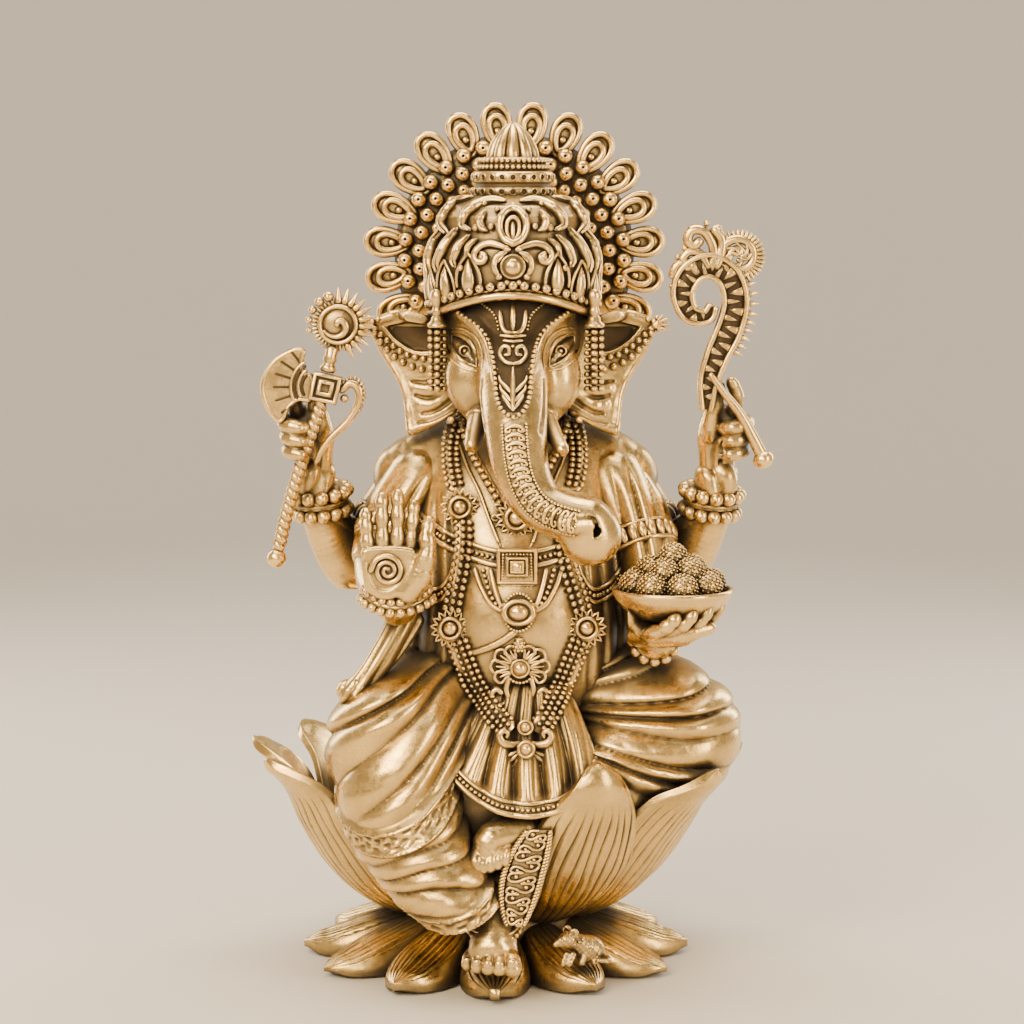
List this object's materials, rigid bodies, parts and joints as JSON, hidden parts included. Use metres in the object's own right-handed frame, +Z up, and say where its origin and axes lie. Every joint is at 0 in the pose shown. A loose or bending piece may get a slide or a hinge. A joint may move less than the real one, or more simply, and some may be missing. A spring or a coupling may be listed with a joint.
{
  "type": "hindu deity statue",
  "caption": "Antique brass statuette of an elephant-headed deity with raised arms, seated on an open lotus, with a feather-eye halo behind the crown.",
  "frame": {"origin": "middle of the flat underside of the lotus, on the table", "axes": "+Z up, the figure faces -Y, and its own left hand is on +X"},
  "size_m": [0.1781, 0.1451, 0.2967],
  "materials": {
    "bright_brass": "hand-rubbed bright on the high points, dark patina in the folds",
    "cloth_brass": "satin, rubbed on the ridges of the folds",
    "lotus_brass": "satin, with dark engraved veins",
    "jewel_brass": "rubbed bright beads over dark patina",
    "dark_brass": "mostly dark patina, bright at the rims"
  },
  "bodies": {
    "root": {"apron_cloth": "cloth_brass", "base_petal_01": "lotus_brass", "base_petal_02": "lotus_brass", "base_petal_03": "lotus_brass", "base_petal_04": "lotus_brass", "base_petal_05": "lotus_brass", "base_petal_06": "lotus_brass", "base_petal_07": "lotus_brass", "base_petal_08": "lotus_brass", "base_petal_09": "lotus_brass", "base_petal_10": "lotus_brass", "base_petal_11": "lotus_brass", "base_petal_12": "lotus_brass", "battle_axe": "jewel_brass", "bowl_left_hand": "bright_brass", "broken_right_tusk": "bright_brass", "crown_dome": "jewel_brass", "crown_tiers": "jewel_brass", "feather_halo": "dark_brass", "front_left_arm": "bright_brass", "front_left_bracelet": "jewel_brass", "front_right_arm": "bright_brass", "front_right_bracelet": "jewel_brass", "garland": "jewel_brass", "goad": "jewel_brass", "head": "bright_brass", "left_ear": "bright_brass", "left_ear_tassel": "jewel_brass", "left_foot": "bright_brass", "left_leg": "cloth_brass", "left_tusk": "bright_brass", "lotus_core": "lotus_brass", "lotus_petal_01": "lotus_brass", "lotus_petal_02": "lotus_brass", "lotus_petal_03": "lotus_brass", "lotus_petal_04": "lotus_brass", "lotus_petal_05": "lotus_brass", "lotus_petal_06": "lotus_brass", "lotus_petal_07": "lotus_brass", "lotus_petal_08": "lotus_brass", "lotus_petal_09": "lotus_brass", "lotus_petal_10": "lotus_brass", "mouse": "jewel_brass", "open_right_hand": "bright_brass", "rear_left_arm": "bright_brass", "rear_left_bracelet": "jewel_brass", "rear_left_hand": "bright_brass", "rear_right_arm": "bright_brass", "rear_right_bracelet": "jewel_brass", "rear_right_hand": "bright_brass", "right_ear": "bright_brass", "right_ear_tassel": "jewel_brass", "right_foot": "bright_brass", "right_leg": "cloth_brass", "sash_end": "jewel_brass", "sweets": "jewel_brass", "sweets_bowl": "bright_brass", "torso": "cloth_brass", "trunk": "bright_brass", "waist_belt": "jewel_brass"}
  },
  "joints": []
}
